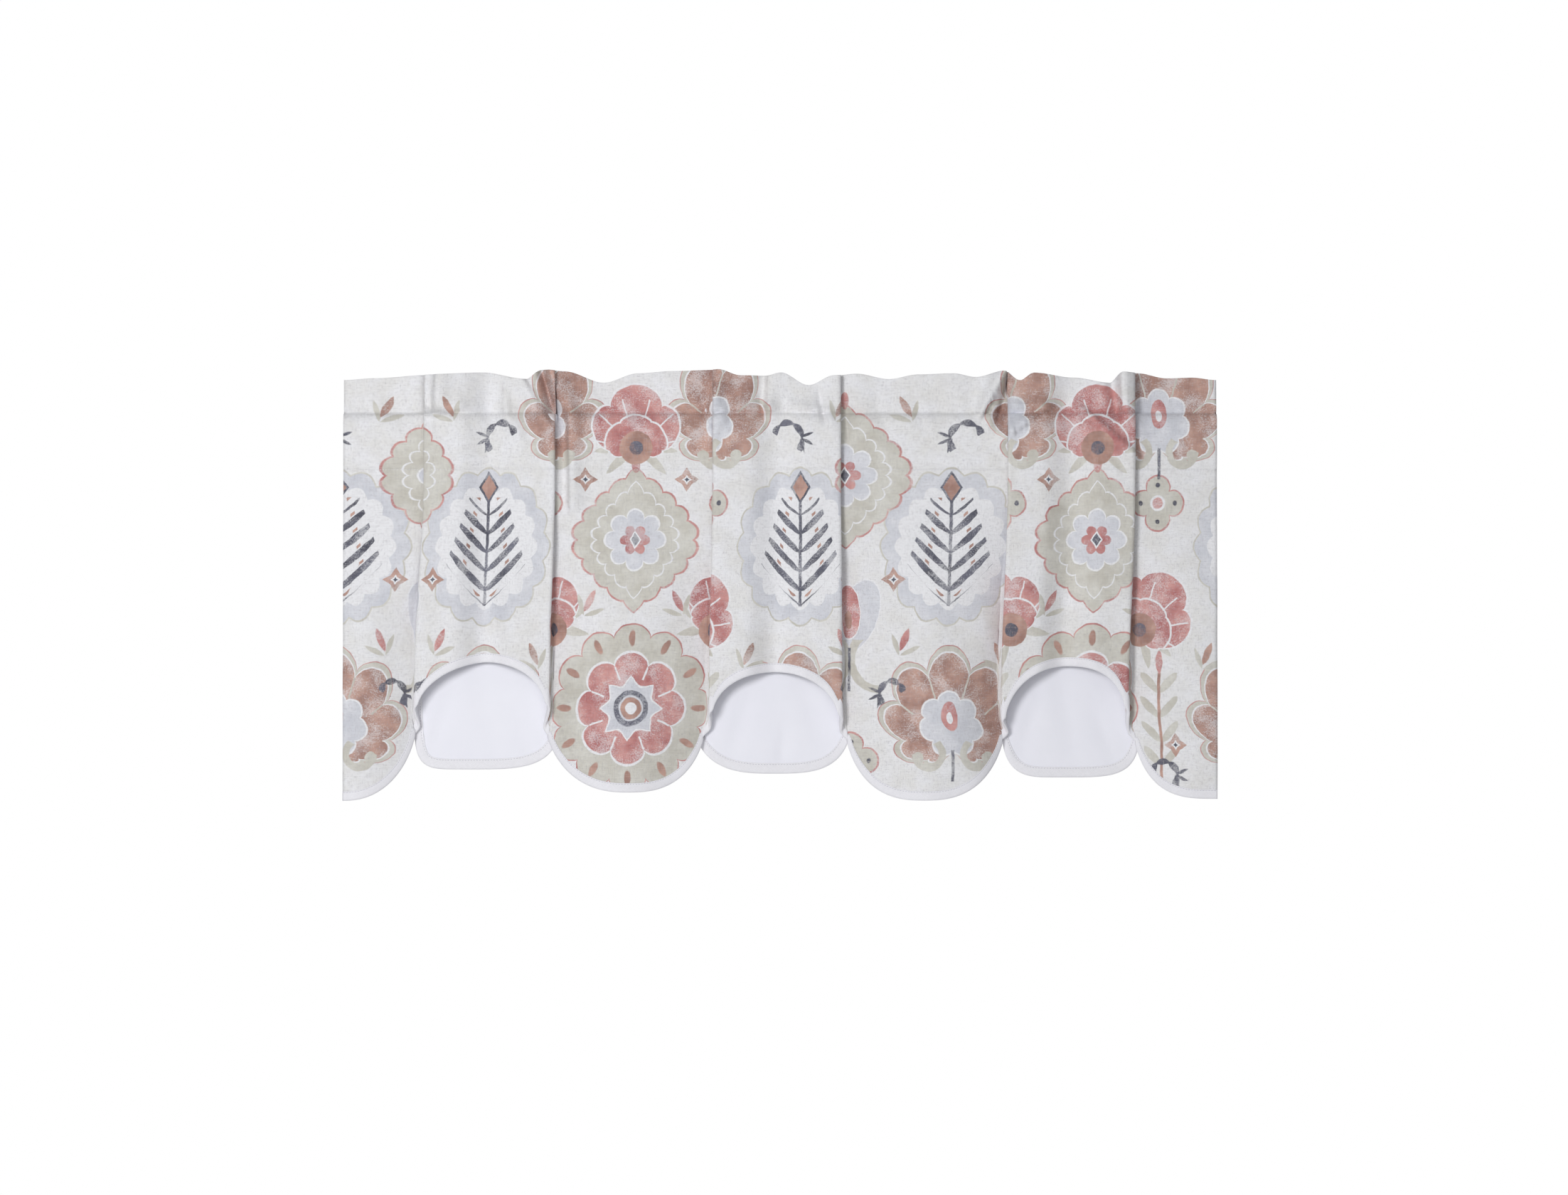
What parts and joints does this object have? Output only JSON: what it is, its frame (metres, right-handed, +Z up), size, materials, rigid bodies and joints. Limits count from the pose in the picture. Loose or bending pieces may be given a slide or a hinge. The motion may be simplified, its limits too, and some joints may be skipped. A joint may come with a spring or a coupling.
{
  "type": "window valance",
  "caption": "Gathered rod-pocket window valance with a ruffled header, a scalloped floral face panel over a white scalloped under panel, and white bias binding on both edges.",
  "frame": {"origin": "middle of the top edge of the header, on the seam plane between the two panels", "axes": "+X to the right along the window as seen from the room, -Y towards the room, +Z up"},
  "size_m": [0.883, 0.0555, 0.4357],
  "materials": {
    "face_panel": "matte cotton and linen weave, off-white with a floral print in coral, tan, beige, pale blue and charcoal",
    "under_panel": "smooth white lining satin",
    "face_binding": "white bias binding, stitched close to its inner edge",
    "under_binding": "white bias binding, stitched close to its inner edge"
  },
  "bodies": {
    "root": {"face_panel": "face_panel", "under_panel": "under_panel", "face_binding": "face_binding", "under_binding": "under_binding"}
  },
  "joints": []
}
